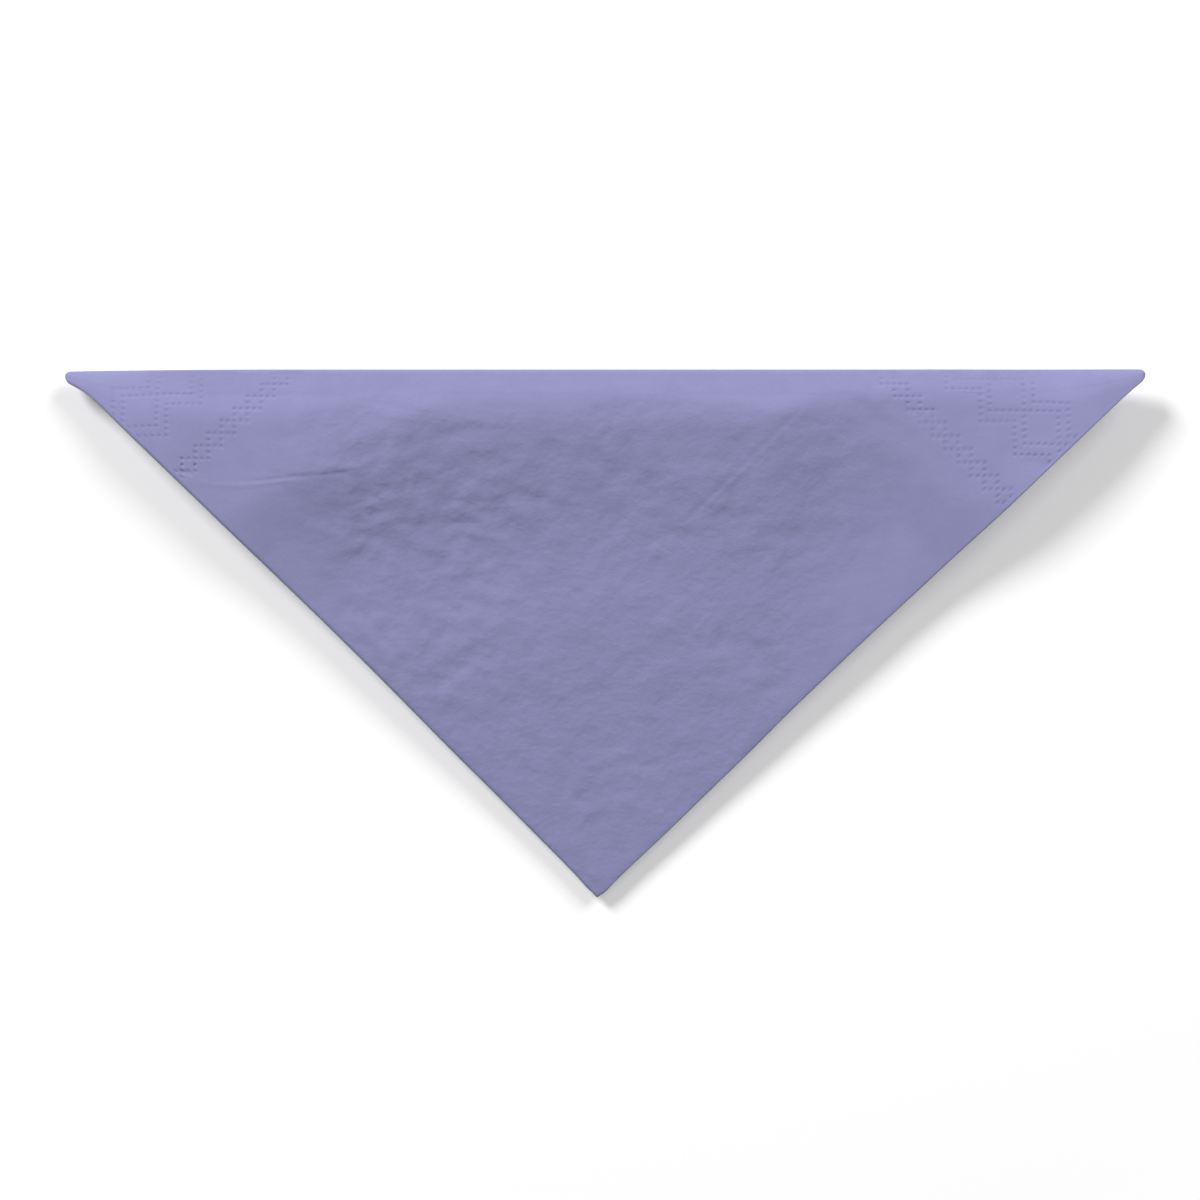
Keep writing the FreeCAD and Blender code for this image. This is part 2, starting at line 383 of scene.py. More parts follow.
def broad_heights(x, y):
    """The slow part of the field, which all four upper layers follow."""
    inward = BACK_Y - y
    width = np.maximum(4.0, DEPTH * (1 - np.abs(x - APEX_X) / 117.0))
    hollow = np.sin(np.clip(inward / width, 0, 1) * math.pi)
    sag = -SAG * hollow * smooth(14, 44, inward) * (1 - smooth(40, 88, np.abs(x)))
    swell = SWELL * np.sin(x / 17.0 + y / 29.0) * np.sin(y / 19.0 - x / 41.0 + 0.8)
    return sag + swell * hollow * (1 - smooth(60, 95, np.abs(x)))


def fine_heights(x, y):
    """The quick part of the field, which only the uppermost layer follows."""
    inward = BACK_Y - y
    rough = sum(height * crumple(x + shift, y, *shape) for height, *shape, shift in CRUMPLES)
    left = smooth(0, 22, -x) * smooth(12, 20, inward) * (1 - smooth(60, 85, inward))
    field = body_share(x, y) * rough * (1 + LEFT_ROUGHER * left) + stroke_heights(x, y)
    return np.maximum(field, DEEPEST)


print("height of the sag in the middle:", broad_heights(np.zeros(1), np.zeros(1)).round(2))

# %% [markdown]
# ## The folded sheet
#
# The napkin is one sheet, so it is built as one closed mesh and folded by rule. Each of the four
# layers is a strip from a folded edge, up over the last fold and back to its open edge. A point
# on it is named by its place along the napkin, and by how far it has come along that path.

# %% How a point of the sheet is folded into place
# The five stretches of the path: folded edge, upper run, shoulder, nose and lower run
STRETCHES = 5
APEX_BLEND = 2.6
TIP_CAP = 1.15
SHORTEST_RUN = 0.05
CORNER_TWIST = 0.22
APEX_PRESSED = 0.25
LEFT_TIP_DOWN, RIGHT_TIP_DOWN = 0.5, 0.3
LEFT_DRAWN_IN, RIGHT_DRAWN_IN = -0.05, 0.1
# How much sooner nested layers and the paper's back end at a tip
NESTED_STEP, BACK_STEP = 0.3, 0.1
# How much flatter the paper's back is, and how far it gives way under creases and under dots
BACK_FLATTER, GIVES_WAY, GIVES_MORE = 0.1, 0.06, 0.14
# How far the slanted edges bow in, in mm, at shares of the way from the apex to the tip
LEFT_BOW = (
    (0, -1.6), (0.02, -1.1), (0.05, -0.6), (0.12, -0.23), (0.2, 0.15), (0.27, 0.4), (0.35, 0.88),
    (0.42, 1.3), (0.5, 1.55), (0.57, 1.65), (0.65, 1.72), (0.73, 1.8), (0.81, 1.9), (0.89, 2.05),
    (0.945, 2.1), (0.98, 1.1), (1, 0.4),
)
RIGHT_BOW = (
    (0, -1.6), (0.02, -1.4), (0.05, -1.1), (0.13, -1.1), (0.2, -0.8), (0.28, -0.5), (0.35, 0.05), (0.43, 0.3),
    (0.51, 0.42), (0.6, 0.32), (0.66, 0.38), (0.74, 0.3), (0.82, 0.55), (0.9, 0.72), (0.96, 0.7), (1, 0.2),
)


def where_along(flat_x):
    """What the cross-section is like at a place along the napkin."""
    side = np.where(flat_x < 0, -1.0, 1.0)
    reach = HALF_LENGTH - side * APEX_X
    distance = np.abs(flat_x) * reach / HALF_LENGTH
    closed = np.clip((distance - OPEN_REACH) / (reach - OPEN_REACH), 0, None)
    lifted = np.clip((distance - FLAT_REACH) / (reach - FLAT_REACH), 0, None)
    share = distance / reach
    left, right = (rounded(bows).T for bows in (LEFT_BOW, RIGHT_BOW))
    bow = np.where(side < 0, np.interp(share, *left), np.interp(share, *right))
    width = DEPTH + (TIP_WIDTH - DEPTH) * share - bow
    return side, distance, closed, lifted, width


def fold_into_place(flat_x, path, layer, back, detail=True):
    """World places in mm, and the lengths of the path's stretches, for some points."""
    side, distance, closed, lifted, width = where_along(flat_x)
    lift = np.where(side < 0, LEFT_LIFT, RIGHT_LIFT) * lifted**2
    gap, pack, nose, shoulder, shoulder_in, shoulder_up = fold_sizes(closed)
    outer = (layer - 1) * (PAPER + gap)
    even = layer % 2 == 0
    depth = outer + PAPER * (even != back)
    middle = outer + PAPER / 2

    # The folded edge: which depth it turns about, and how wide the turn is
    shared = smooth(0, APEX_BLEND, np.abs(flat_x))
    right_middle = PAPER + gap / 2 + np.where(layer > 2, 2 * (PAPER + gap), 0)
    about = pack / 2 + (np.where(side < 0, pack / 2, right_middle) - pack / 2) * shared
    widest = np.where(side < 0, pack / 2, PAPER + gap / 2)
    run_end = width - (widest * shared + pack / 2 * (1 - shared)) * ALONG[0]
    radius = np.abs(middle - about)
    face = np.abs(depth - about) - radius
    bulge = radius * shared + 2 * PAPER * (1 - shared)
    bulge = bulge + face * shared + np.where(back, -0.5, 0.5) * PAPER * (1 - shared)

    start = [shoulder_in + shoulder * OUT[0], shoulder_up + shoulder * OUT[1]]
    run = np.maximum((run_end - start[0]) / ALONG[0], SHORTEST_RUN)
    open_edge = width - OPEN_EDGE_SETBACK
    open_edge = open_edge - (LAYERS - layer) * OPEN_EDGE_STEP * (1 - closed**2)
    stretch = np.minimum(path.astype(int), STRETCHES - 1)
    share = path - stretch

    lengths = np.stack([
        math.pi / 2 * np.sqrt((radius**2 + bulge**2) / 2),
        run,
        (NOSE_END - TURNED) * (shoulder - middle),
        (1.5 * math.pi - NOSE_END) * (nose - middle),
        open_edge - nose,
    ])

    def on_arc(center, size, angle):
        return [center[0] + size * np.cos(angle), center[1] + size * np.sin(angle)]

    turn = (1 - share) * math.pi / 2
    places = []
    for axis in (0, 1):
        corner = start[axis] + run * ALONG[axis] - about * OUT[axis]
        edge = corner + OUT[axis] * (about - depth) * np.cos(turn) + ALONG[axis] * bulge * np.sin(turn)
        upper = start[axis] + run * (1 - share) * ALONG[axis] - depth * OUT[axis]
        over = on_arc((shoulder_in, shoulder_up), shoulder - depth, TURNED + (NOSE_END - TURNED) * share)
        under = on_arc((nose, nose), nose - depth, NOSE_END + (1.5 * math.pi - NOSE_END) * share)
        lower = (nose + (open_edge - nose) * share, depth)
        places.append(np.choose(stretch, [edge, upper, over[axis], under[axis], lower[axis]]))
    inward, height = places

    # Each tip is rounded off by shrinking its section towards one point
    capped = np.clip((np.abs(flat_x) - HALF_LENGTH + TIP_CAP) / TIP_CAP, 0, 1)
    kept = np.sqrt(1 - capped**2)
    inward = width / 2 + (inward - width / 2) * kept
    height = nose + (height - nose) * kept
    nested = np.where(side < 0, (layer == 2) | (layer == 3), layer > 2)
    drawn_in = np.where(side < 0, LEFT_DRAWN_IN, RIGHT_DRAWN_IN) * lifted**3
    sooner = capped**3 * (NESTED_STEP * nested + BACK_STEP * back)
    x = APEX_X + side * (distance - drawn_in - sooner)

    y = BACK_Y - inward
    upper_share = 1 - smooth(2.0, 3.0, path)
    below = np.where(stretch == 0, about + (depth - about) * np.cos(turn), depth)
    crest = np.where((path < 4) & (height > nose), crest_heights(x, inward - below, closed), 0.0)
    y = y - np.where(side < 0, LEFT_TIP_DOWN, RIGHT_TIP_DOWN) * lifted**3
    pressed = 1 - APEX_PRESSED * smooth(55, 105, inward)
    # The corners also twist, but no more than keeps the fold above the table
    twist = np.minimum(CORNER_TWIST * smooth(70, 112, np.abs(flat_x)), 2 * lift / width)
    z = (height + crest + broad_heights(x, y) * upper_share) * pressed + lift + twist * (inward - width / 2)
    if detail:
        top = layer == 1
        quick = np.zeros_like(z)
        quick[top] = fine_heights(x[top], y[top]) * (1 - BACK_FLATTER * back[top])
        far = np.abs(x)
        dotted = smooth(58, 66, far) * (1 - smooth(100, 108, far)) * (1 - smooth(34, 40, inward))
        given = (GIVES_WAY + GIVES_MORE * dotted) * (top & back) * smooth(1.0, 1.02, path)
        z = z + (quick * smooth(1.0, 1.04, path) - given) * upper_share
    return np.stack([x, y, z], axis=1), lengths


print("width in the middle in mm:", where_along(np.zeros(1))[4].round(1))

# %% [markdown]
# ## The strips of the sheet
#
# Each layer has a face on both sides of the paper, and neighbours meet at the folded edges. A flat
# grid could be folded step by step. Here every strip is laid out in rows and columns, and a key
# says which of them are the same point, so the sheet is closed from the start.

# %% The strips of the four layers, joined along the folded edges
EVEN_COLUMNS = 162
TIP_STEPS = (0.06, 0.18, 0.36, 0.6, 0.85, 1.15)
even = [column * QUARTER_DIAGONAL / EVEN_COLUMNS - HALF_LENGTH for column in range(1, EVEN_COLUMNS)]
ends = [side * (HALF_LENGTH - step) for side in (-1, 1) for step in (0, *TIP_STEPS)]
STATIONS = sorted([*even, *ends])
COLUMNS = len(STATIONS) - 1
MIDDLE_COLUMN = COLUMNS // 2
SEEN_ROWS = (5, 72, 9, 12, 14)
LINING_ROWS = (4, 50, 6, 8, 6)
HIDDEN_ROWS = (3, 9, 3, 5, 3)
LEFT_PARTNER = {1: 1, 4: 1, 2: 2, 3: 2}
RIGHT_PARTNER = {1: 1, 2: 1, 3: 3, 4: 3}


def paths(layer, back):
    """How far along the path each row of a strip is, in stretches."""
    if layer > 1:
        counts = HIDDEN_ROWS
    else:
        counts = LINING_ROWS if back else SEEN_ROWS
    rows = [stretch + step / count for stretch, count in enumerate(counts) for step in range(count)]
    return [*rows, float(STRETCHES)]


def same_point(back, layer, row, column):
    """One key for every name of the same point of the sheet."""
    if column == 0:
        return back, LEFT_PARTNER[layer], "left tip"
    if column == COLUMNS:
        return back, RIGHT_PARTNER[layer], "right tip"
    if row == 0:
        if column == MIDDLE_COLUMN:
            return back, 1, "apex"
        layer = (LEFT_PARTNER if column < MIDDLE_COLUMN else RIGHT_PARTNER)[layer]
    return back, layer, row, column


sheet = bmesh.new()
along = sheet.verts.layers.float.new("along")
travel = sheet.verts.layers.float.new("travel")
strip = sheet.verts.layers.float.new("strip")
reverse = sheet.verts.layers.float.new("reverse")
points = {}


def point(back, layer, row, column, path):
    """The vertex of a row and column, made when it is first asked for."""
    key = same_point(back, layer, row, column)
    if key not in points:
        vertex = sheet.verts.new()
        vertex[along] = STATIONS[column]
        vertex[travel], vertex[strip], vertex[reverse] = path, key[1], back
        points[key] = vertex
    return points[key]


for back in (0, 1):
    for layer in range(1, LAYERS + 1):
        steps = paths(layer, back)
        for row, (path, next_path) in enumerate(zip(steps, steps[1:])):
            for column in range(COLUMNS):
                corners = [
                    point(back, layer, row, column, path),
                    point(back, layer, row, column + 1, path),
                    point(back, layer, row + 1, column + 1, next_path),
                    point(back, layer, row + 1, column, next_path),
                ]
                loop = list(dict.fromkeys(corners))
                if (layer % 2 == 0) != (back == 1):
                    loop.reverse()
                sheet.faces.new(loop)

for layer in range(1, LAYERS + 1):
    ends = [(back, len(paths(layer, back)) - 1) for back in (0, 1)]
    for column in range(COLUMNS):
        loop = [point(back, layer, row, column + step, float(STRETCHES))
                for (back, row), step in ((ends[0], 0), (ends[1], 0), (ends[1], 1), (ends[0], 1))]
        sheet.faces.new(loop)
bmesh.ops.recalc_face_normals(sheet, faces=sheet.faces)
print("faces before refining:", len(sheet.faces), "open edges:", sum(not e.is_manifold for e in sheet.edges))

# %% [markdown]
# ## The embossed border
#
# The border is a common geometric ornament of small pressed dots: a chain of little hollow
# squares, and beside it a chain of larger squares between two stair lines. The dots could be
# placed one by one, but each run repeats one motif in equal steps of about 1.4 mm. The steps are
# a little different in each run, because soft tissue stretches as it is pressed.

# %% The motifs, in steps of the lattice: right and away from the fold
PITCH = {
    "left chain": (1.395, 1.35), "left frame": (1.45, 1.36),
    "right chain": (1.36, 1.437), "right frame": (1.437, 1.437),
}
LITTLE, LARGE = 2, 5


def hollow_square(size):
    """The dots on a square's outline, without the corner that it shares with the next one."""
    dots = {(i, j) for i in range(size + 1) for j in range(size + 1)}
    inside = {(i, j) for i in range(1, size) for j in range(1, size)}
    return sorted(dots - inside - {(size, 0)})


def stair(size):
    """One tread and one riser of a stair line."""
    return [(-i, 0) for i in range(size)] + [(0, -j) for j in range(1, size + 1)]


# Each run: its motif, the size of its steps, the corner where it is seen, and how many steps it
# has before that corner and in all
RUNS = (
    ("left chain", hollow_square(LITTLE), LITTLE, (236.2, 410.3), 7, 31),
    ("left frame", hollow_square(LARGE), LARGE, (125.0, 398.0), 3, 14),
    ("left frame", stair(LARGE), LARGE, (202.0, 405.4), 4, 14),
    ("left frame", stair(LARGE), LARGE, (148.5, 389.0), 4, 14),
    ("right chain", hollow_square(LITTLE), LITTLE, (931.8, 411.5), 7, 31),
    ("right frame", hollow_square(LARGE), LARGE, (1055.0, 414.0), 3, 14),
    ("right frame", stair(LARGE), LARGE, (979.0, 423.5), 4, 14),
    ("right frame", stair(LARGE), LARGE, (1031.5, 404.5), 4, 14),
)
# Where the nose reaches furthest out, as a share of its turn
CROWN = 0.4


def paper_places(flat_x, path, layer, back):
    """Places on the paper: along the napkin, and back along the path from the nose's crown."""
    where, lengths = fold_into_place(flat_x, path, layer, back, detail=False)
    stretch = np.minimum(path.astype(int), STRETCHES - 1)
    before = np.concatenate([np.zeros((1, len(path))), np.cumsum(lengths, axis=0)])
    columns = np.arange(len(path))
    gone = before[stretch, columns] + (path - stretch) * lengths[stretch, columns]
    crown = before[3] + lengths[3] * CROWN
    share = gone / before[STRETCHES]
    return where, crown - gone, share


def current():
    """Every point's numbers, its place in the world and on the paper, and whether it is seen."""
    layers = (along, travel, strip, reverse)
    numbers = [np.array([vertex[item] for vertex in sheet.verts], dtype=float) for item in layers]
    flat_x, path, layer, back = numbers
    state = flat_x, path, np.rint(layer).astype(int), back > 0.5
    where, from_crown, share = paper_places(*state)
    place = np.stack([where[:, 0], from_crown], axis=1)
    return state, where, place, share, (state[2] == 1) & ~state[3]


state, where, place, share, seen_now = current()
seen_side = seen_now & (state[1] < 3.2)
seen_where, seen_crown = where[seen_side], place[seen_side, 1]


def on_paper(x, y):
    """The place on the paper of a point that the picture shows."""
    world = seen(x, y)
    nearest = np.argsort(np.hypot(seen_where[:, 0] - world[0], seen_where[:, 1] - world[1]))[:6]
    slope = seen_crown[nearest] + (seen_where[nearest, 1] - world[1])
    return world[0], float(slope.mean())


dots = []
runs = []
for name, motif, size, corner, before, count in RUNS:
    mirror = 1 if name.startswith("left") else -1
    step = (mirror * PITCH[name][0], PITCH[name][1])
    x, away = on_paper(*corner)
    start = (x - before * size * step[0], away + before * size * step[1])
    runs.append((name, motif, size, step, start, count))
    for number in range(count):
        for i, j in motif:
            dot_x = start[0] + (i + number * size) * step[0]
            dots.append((dot_x, start[1] + (j - number * size) * step[1]))
dots = np.array(dots)
print("runs:", len(runs), "dots:", len(dots))

# %% [markdown]
# ## Finer faces where they are needed
#
# Dots and sharp creases are less than a millimetre wide. Faces that small everywhere would be
# millions, so only edges near a crease or a dot are divided, and only on the seen face.

# %% Finer faces near the creases and the dots
THIN = 0.6


def near_any(places, targets, reach):
    """Which places are within reach of a target, found with a coarse grid of cells."""
    cells = {}
    for target in targets:
        cells.setdefault((int(target[0] // reach), int(target[1] // reach)), []).append(target)
    found = np.zeros(len(places), dtype=bool)
    for index, (x, y) in enumerate(places):
        column, row = int(x // reach), int(y // reach)
        for i in (column - 1, column, column + 1):
            for j in (row - 1, row, row + 1):
                for target in cells.get((i, j), ()):
                    if (target[0] - x) ** 2 + (target[1] - y) ** 2 < reach * reach:
                        found[index] = True
    return found


def refine(near, sizes, cuts, longest):
    """Divide the long edges that have an end near something, on the seen face."""
    sheet.verts.index_update()
    chosen = []
    for edge in sheet.edges:
        first, second = (vertex.index for vertex in edge.verts)
        if (near[first] or near[second]) and np.hypot(*(sizes[first] - sizes[second])) > longest:
            chosen.append(edge)
    bmesh.ops.subdivide_edges(sheet, edges=chosen, cuts=cuts, use_grid_fill=True)
    print("refined", len(chosen), "edges, faces now", len(sheet.faces))


crease_points, thin_points = (
    np.concatenate([rounded([seen(*p) for p in stroke[3]]) for stroke in STROKES if stroke[2] < widest])
    for widest in (math.inf, THIN))
# Each round: what it looks for and within how many mm, whether that is a place on the paper, how
# far along the path it looks, and the cuts it makes in each edge that is longer than a length
ROUNDS = (
    (crease_points, 2.4, False, 2.6, 1, 1.0),
    (thin_points, 1.1, False, 2.6, 1, 0.42),
    (dots, 1.15, True, 3.3, 3, 0.62),
)
for targets, reach, on_sheet, last_path, cuts, longest in ROUNDS:
    state, where, place, share, seen_now = current()
    upper = seen_now & (state[1] < last_path)
    near = np.zeros(len(upper), dtype=bool)
    near[upper] = near_any((place if on_sheet else where[:, :2])[upper], targets, reach)
    refine(near, place, cuts, longest)

# %% [markdown]
# ## The finished mesh
#
# Each point is folded into place, and keeps its place on the flat sheet as a UV map, which is
# where paper has its grain, and as an attribute for the dots. Both are known from the folding, so
# nothing has to be unwrapped.

# %% The finished mesh
state, where, place, share, seen_now = current()
folded, lengths = fold_into_place(*state)
for vertex, position in zip(sheet.verts, folded):
    vertex.co = Vector(position * MM)
bmesh.ops.triangulate(sheet, faces=[face for face in sheet.faces if len(face.verts) > 4])
bmesh.ops.recalc_face_normals(sheet, faces=sheet.faces)
if sheet.calc_volume(signed=True) < 0:
    bmesh.ops.reverse_faces(sheet, faces=sheet.faces)
print("open edges:", sum(not edge.is_manifold for edge in sheet.edges))
print("paper in mm3:", round(sheet.calc_volume() * 1e9), "of", round(SHEET**2 * PAPER))

flat_v = np.abs(state[0]) + share * (QUARTER_DIAGONAL - 2 * np.abs(state[0]))
flat_a = (flat_v + state[0]) / math.sqrt(2) * np.where(state[2] <= 2, 1, -1)
flat_b = (flat_v - state[0]) / math.sqrt(2) * np.where((state[2] == 1) | (state[2] == 4), 1, -1)
sheet.verts.index_update()
map_layer = sheet.loops.layers.uv.new("flat_sheet")
for face in sheet.faces:
    for corner in face.loops:
        index = corner.vert.index
        corner[map_layer].uv = (flat_a[index] / SHEET + 0.5, flat_b[index] / SHEET + 0.5)


def placed(name, data):
    """A new object in the scene, with its data."""
    item = bpy.data.objects.new(name, data)
    bpy.context.scene.collection.objects.link(item)
    return item


mesh = bpy.data.meshes.new("napkin_sheet")
sheet.to_mesh(mesh)
sheet.free()
mesh.shade_smooth()
napkin_sheet = placed("napkin_sheet", mesh)

# The dots only mark the seen face of the outer layer, so other points are put out of reach
OUT_OF_REACH = 500.0
HIDDEN_CREPE = 0.4
paper_place = mesh.attributes.new("paper_place", "FLOAT_VECTOR", "POINT")
marked = seen_now & (state[1] < 3.5) & (state[1] > 1.05)
places = np.stack([place[:, 0], place[:, 1], np.where(marked, 0.0, OUT_OF_REACH)], axis=1) * MM
paper_place.data.foreach_set("vector", places.astype(np.float32).ravel())
# The crumple mask drives the crepe bump, and also the painted shade that darkens the crumpled body
crumpled = mesh.attributes.new("crumpled", "FLOAT", "POINT")
body = np.where(seen_now & (state[1] < 2.5), body_share(where[:, 0], where[:, 1]), HIDDEN_CREPE)
crumpled.data.foreach_set("value", body.astype(np.float32))
print("vertices:", len(mesh.vertices), "faces:", len(mesh.polygons))

# %% [markdown]
# ## Building node trees
#
# Node trees are easier to read as sums. This small class holds one output socket of a tree, and
# arithmetic on it adds Math nodes. One function adds any other node, with its settings first and
# then the values or links of its sockets.


# %% A socket that can be added, subtracted and multiplied
class Wire:
    """One output socket of a node tree."""

    def __init__(self, tree, socket):
        self.tree, self.socket = tree, socket

    def output(self, name):
        """Another output of the same node."""
        return Wire(self.tree, self.socket.node.outputs[name])

    def math(self, operation, *terms):
        """A Math node with the given terms."""
        return add(self.tree, "ShaderNodeMath", {"operation": operation}, dict(enumerate(terms)))

    def __add__(self, other):
        return self.math("ADD", self, other)

    __radd__ = __add__

    def __sub__(self, other):
        return self.math("SUBTRACT", self, other)

    def __rsub__(self, other):
        return self.math("SUBTRACT", other, self)

    def __mul__(self, other):
        return self.math("MULTIPLY", self, other)

    __rmul__ = __mul__


def add(tree, kind, settings=None, sockets=None, out=0):
    """Add a node to a tree and return its first output, or the one that out names."""
    node = tree.nodes.new(kind)
    for name, value in (settings or {}).items():
        setattr(node, name, value)
    for name, value in (sockets or {}).items():
        if isinstance(value, Wire):
            tree.links.new(value.socket, node.inputs[name])
        else:
            node.inputs[name].default_value = value
    return Wire(tree, node.outputs[out]) if node.outputs else node


def new_material(name):
    """A material with an empty node tree."""
    material = bpy.data.materials.new(name)
    material.use_nodes = True
    material.node_tree.nodes.clear()
    return material, material.node_tree


print("what a wire holds:", sorted(vars(Wire)))

# %% [markdown]
# ## The tissue
#
# Napkin tissue is matt, a little fluffy and dyed right through. What shows that it is paper is the
# crepe: fine crinkles across the sheet, with short fibres between them. They are a few hundredths
# of a millimetre high, so bump is enough, with a little mottling in the colour. The colour also
# holds painted shade: the crumpled body is painted darker than the smooth corners and fold, and
# the pressed dots are painted darker too.

# %% The tissue material
TISSUE = (0.262, 0.259, 0.462, 1.0)
TISSUE_DEEP = (0.228, 0.225, 0.408, 1.0)
# Painted shade for the hollows of the pressed dots
DOT_SHADE = (0.160, 0.156, 0.330, 1.0)


def mix_colour(tree, factor, first, second):
    """A colour between two colours."""
    return add(tree, "ShaderNodeMix", {"data_type": "RGBA"}, {0: factor, 6: first, 7: second}, out=2)


def tissue_material():
    """Matt tissue with crepe and fibres, and painted shade on the crumpled body and in the pressed dots."""
    material, tree = new_material("lilac tissue")
    place = add(tree, "ShaderNodeTexCoord", out="Object")
    crumpled = add(tree, "ShaderNodeAttribute", {"attribute_name": "crumpled"}, out="Fac")
    emboss = add(tree, "ShaderNodeAttribute", {"attribute_name": "emboss"}, out="Fac")
    clouds = add(tree, "ShaderNodeTexNoise", None, {"Vector": place, "Scale": 160.0, "Detail": 4.0})
    fibres = add(tree, "ShaderNodeTexNoise", None, {"Vector": place, "Scale": 1500.0, "Detail": 3.0})
    across = {0: place, 1: (0.85, 1.0, 1.0)}
    stretched = add(tree, "ShaderNodeVectorMath", {"operation": "MULTIPLY"}, across)
    crepe = add(tree, "ShaderNodeTexNoise", None, {"Vector": stretched, "Scale": 420.0, "Detail": 4.0})

    # Random tone from clouds and fibres, plus painted shade: the crumpled body darker, the smooth corners and
    # fold lighter
    mottling_and_shade = (clouds - 0.5) * 1.0 + (fibres - 0.5) * 0.4 + 0.45 + (1 - crumpled) * 0.3
    paper = mix_colour(tree, mottling_and_shade, TISSUE_DEEP, TISSUE)
    # Painted shade: the pressed dots are darkened wherever the emboss mask lies
    colour = mix_colour(tree, emboss * 0.18, paper, DOT_SHADE)

    height = crepe * (crumpled * 1.15 + 0.2) + fibres * 0.18
    relief = {"Strength": 0.7, "Distance": 0.0003, "Height": height}
    bump = add(tree, "ShaderNodeBump", None, relief, out="Normal")
    surface = add(tree, "ShaderNodeBsdfPrincipled", None, {
        "Base Color": colour, "Roughness": 0.92, "Specular IOR Level": 0.18, "Sheen Weight": 0.06,
        "Sheen Roughness": 0.6, "Normal": bump,
    })
    add(tree, "ShaderNodeOutputMaterial", None, {"Surface": surface})
    return material


tissue = tissue_material()
napkin_sheet.data.materials.append(tissue)
print("nodes in the tissue:", len(tissue.node_tree.nodes))

# %% [markdown]
# ## Pressing the dots in
#
# A roller presses the dots into the real napkin. Single dents could be cut, but a rule is easier:
# mesh lines repeat each motif's loose points, Proximity gives the distance to the nearest one,
# and a soft profile pushes the paper in.

# %% The tree that presses the dots in
# Between which places away from the fold the border fades in, in metres
BORDER_FADE = (0.0015, 0.0065)
SIZES = {
    "Dot Radius": 0.44 * MM,
    "left chain depth": 0.30 * MM, "left frame depth": 0.18 * MM,
    "right chain depth": 0.31 * MM, "right frame depth": 0.22 * MM,
}


def motif_object(name, motif, step):
    """A mesh of loose points, one for each dot of a motif."""
    points = [(i * step[0] * MM, j * step[1] * MM, 0) for i, j in motif]
    mesh = bpy.data.meshes.new(name)
    mesh.from_pydata(points, [], [])
    return placed(name, mesh)


def border_tree(motifs):
    """The node group that repeats the motifs and presses their dots."""
    tree = bpy.data.node_groups.new("embossed border", "GeometryNodeTree")
    tree.interface.new_socket("Geometry", in_out="INPUT", socket_type="NodeSocketGeometry")
    for name in SIZES:
        tree.interface.new_socket(name, in_out="INPUT", socket_type="NodeSocketFloat")
    tree.interface.new_socket("Geometry", in_out="OUTPUT", socket_type="NodeSocketGeometry")
    sizes = add(tree, "NodeGroupInput", out="Geometry")
    radius = sizes.output("Dot Radius")
    named = {"Name": "paper_place"}
    paper = add(tree, "GeometryNodeInputNamedAttribute", {"data_type": "FLOAT_VECTOR"}, named)

    amount, depth = 0.0, 0.0
    for group in PITCH:
        joined = tree.nodes.new("GeometryNodeJoinGeometry")
        for (name, motif, size, step, start, count), shape in zip(runs, motifs):
            if name != group:
                continue
            line = add(tree, "GeometryNodeMeshLine", {"mode": "OFFSET"}, {
                "Count": count,
                "Start Location": (start[0] * MM, start[1] * MM, 0),
                "Offset": (size * step[0] * MM, -size * step[1] * MM, 0),
            })
            dot_group = add(tree, "GeometryNodeObjectInfo", None, {"Object": shape}, out="Geometry")
            copies = add(tree, "GeometryNodeInstanceOnPoints", None, {"Points": line, "Instance": dot_group})
            tree.links.new(copies.socket, joined.inputs[0])
        joined_dots = {"Geometry": Wire(tree, joined.outputs[0])}
        all_dots = add(tree, "GeometryNodeRealizeInstances", None, joined_dots)
        near = add(tree, "GeometryNodeProximity", {"target_element": "POINTS"},
                   {"Target": all_dots, "Source Position": paper}, out="Distance")
        pressed = add(tree, "ShaderNodeMapRange", {"interpolation_type": "SMOOTHERSTEP"}, {
            "Value": near, "From Min": radius * 0.15, "From Max": radius * 1.25, "To Min": 1.0, "To Max": 0.0,
        })
        amount = pressed + amount
        depth = pressed * sizes.output(group + " depth") + depth

    away = add(tree, "ShaderNodeSeparateXYZ", None, {0: paper}, out="Y")
    shown = add(tree, "ShaderNodeMapRange", {"interpolation_type": "SMOOTHSTEP"},
                {"Value": away, "From Min": BORDER_FADE[0], "From Max": BORDER_FADE[1]})
    normal = add(tree, "GeometryNodeInputNormal")
    inwards = {0: normal, "Scale": depth * shown * -1.0}
    offset = add(tree, "ShaderNodeVectorMath", {"operation": "SCALE"}, inwards)
    moved = add(tree, "GeometryNodeSetPosition", None, {"Geometry": sizes, "Offset": offset})
    # The emboss mask stored here also drives the painted shade of the dots in the tissue
    stored = add(tree, "GeometryNodeStoreNamedAttribute", {"data_type": "FLOAT", "domain": "POINT"},
                 {"Geometry": moved, "Name": "emboss", "Value": amount * shown})
    whole = add(tree, "GeometryNodeRealizeInstances", None, {"Geometry": stored})
    finished = add(tree, "GeometryNodeSetMaterial", None, {"Geometry": whole, "Material": tissue})
    add(tree, "NodeGroupOutput", None, {"Geometry": finished})
    return tree


motif_objects = [motif_object(f"motif_{number}", run[1], run[3]) for number, run in enumerate(runs)]
press = border_tree(motif_objects)
modifier = napkin_sheet.modifiers.new("embossed border", "NODES")
modifier.node_group = press
for item in press.interface.items_tree:
    if item.in_out == "INPUT" and item.name in SIZES:
        modifier[item.identifier] = SIZES[item.name]

